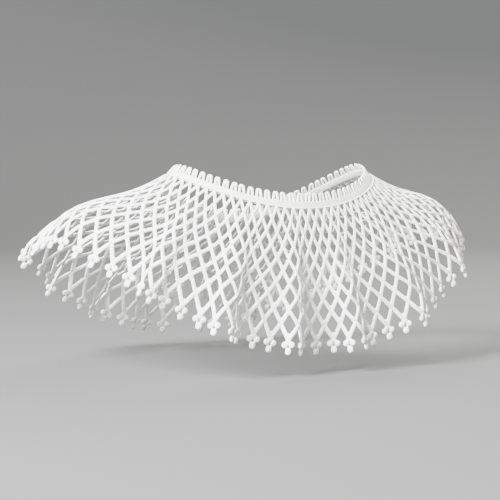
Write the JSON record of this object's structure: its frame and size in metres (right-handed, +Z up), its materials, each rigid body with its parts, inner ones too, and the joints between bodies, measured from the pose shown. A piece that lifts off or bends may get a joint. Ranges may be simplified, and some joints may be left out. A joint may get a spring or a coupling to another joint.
{
  "type": "detachable lace collar",
  "caption": "Wide detachable collar of white diamond net lace, worn shape, with a looped neckband and a pointed hem of lobed picots.",
  "frame": {"origin": "centre of the neck ring, level with the net's top edge where it crosses the shoulders; the wearer's neck and shoulders hold the collar there", "axes": "+Z up, the wearer faces -Y, +X is the wearer's left; +X is the longest extent and +Z the shortest"},
  "size_m": [0.4274, 0.2729, 0.174],
  "materials": {
    "lace_thread": "white cotton thread, dense satin stitch over a cord, soft sheen",
    "band_tape": "fine woven cotton tape, matt, very slightly cream",
    "button": "cream button, gently glossy"
  },
  "bodies": {
    "root": {"net": "lace_thread", "picot_edging": "lace_thread", "neckband": "band_tape", "neck_loops": "lace_thread", "button": "button", "button_loop": "lace_thread"}
  },
  "joints": []
}
